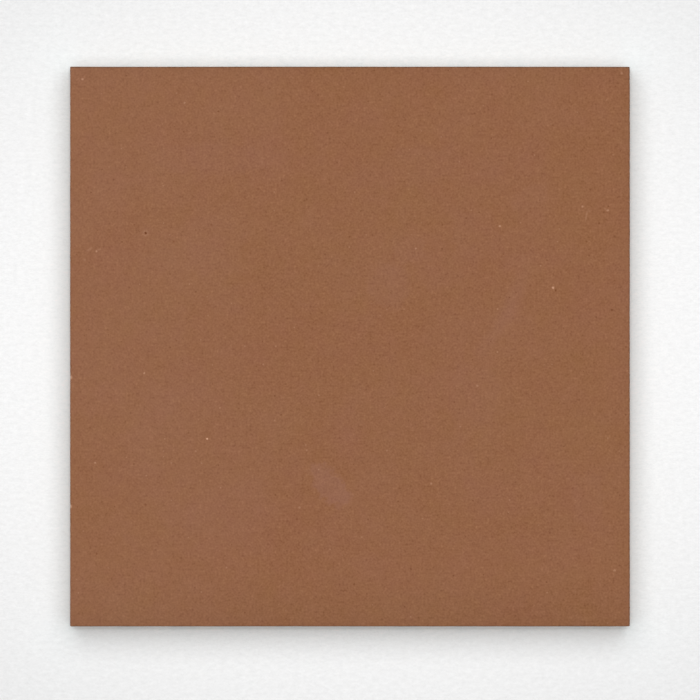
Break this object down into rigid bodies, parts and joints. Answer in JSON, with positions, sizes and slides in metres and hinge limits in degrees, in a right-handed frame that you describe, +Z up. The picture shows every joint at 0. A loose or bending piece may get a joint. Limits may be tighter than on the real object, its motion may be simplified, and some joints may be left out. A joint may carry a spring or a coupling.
{
  "type": "terracotta floor tile",
  "caption": "Square unglazed terracotta floor tile with a flat matte wearing face, straight joint sides and a back keyed with dovetail grooves for the bedding mortar.",
  "frame": {"origin": "centre of the underside, on the plane that the feet between the grooves stand on", "axes": "+Z up through the wearing face, +Y along the grooves of the back, +X across them"},
  "size_m": [0.2, 0.2, 0.0125],
  "materials": {
    "terracotta": "matte, unglazed fired clay"
  },
  "bodies": {
    "root": {"floor_tile": "terracotta"}
  },
  "joints": []
}
